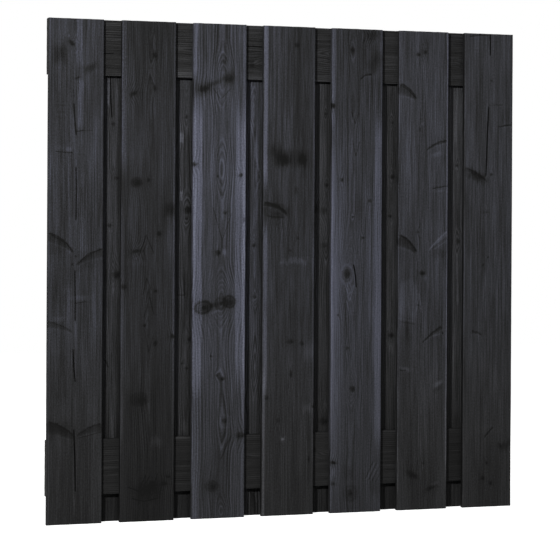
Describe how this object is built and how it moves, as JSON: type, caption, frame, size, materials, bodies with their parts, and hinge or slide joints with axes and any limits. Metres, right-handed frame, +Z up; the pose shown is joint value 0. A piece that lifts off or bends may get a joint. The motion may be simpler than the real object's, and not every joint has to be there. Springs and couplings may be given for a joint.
{
  "type": "wooden fence panel",
  "caption": "Upright fence panel of broad black-stained planks fixed in turn to the front and the back of horizontal rails, each layer closing the gaps of the other.",
  "frame": {"origin": "bottom centre of the panel, in the middle of its thickness", "axes": "+Z up along the planks, +X to the right seen from the front, the front faces -Y"},
  "size_m": [1.8, 0.06, 1.8],
  "materials": {
    "stained_wood": "matte black stain on sawn softwood, grain and knots showing through",
    "screw_steel": "satin stainless steel"
  },
  "bodies": {
    "root": {"front_plank_1": "stained_wood", "front_plank_2": "stained_wood", "front_plank_3": "stained_wood", "front_plank_4": "stained_wood", "front_plank_5": "stained_wood", "front_plank_6": "stained_wood", "front_plank_7": "stained_wood", "back_plank_1": "stained_wood", "back_plank_2": "stained_wood", "back_plank_3": "stained_wood", "back_plank_4": "stained_wood", "back_plank_5": "stained_wood", "back_plank_6": "stained_wood", "top_rail": "stained_wood", "bottom_rail": "stained_wood", "front_plank_1_screws": "screw_steel", "front_plank_2_screws": "screw_steel", "front_plank_3_screws": "screw_steel", "front_plank_4_screws": "screw_steel", "front_plank_5_screws": "screw_steel", "front_plank_6_screws": "screw_steel", "front_plank_7_screws": "screw_steel", "back_plank_1_screws": "screw_steel", "back_plank_2_screws": "screw_steel", "back_plank_3_screws": "screw_steel", "back_plank_4_screws": "screw_steel", "back_plank_5_screws": "screw_steel", "back_plank_6_screws": "screw_steel"}
  },
  "joints": []
}
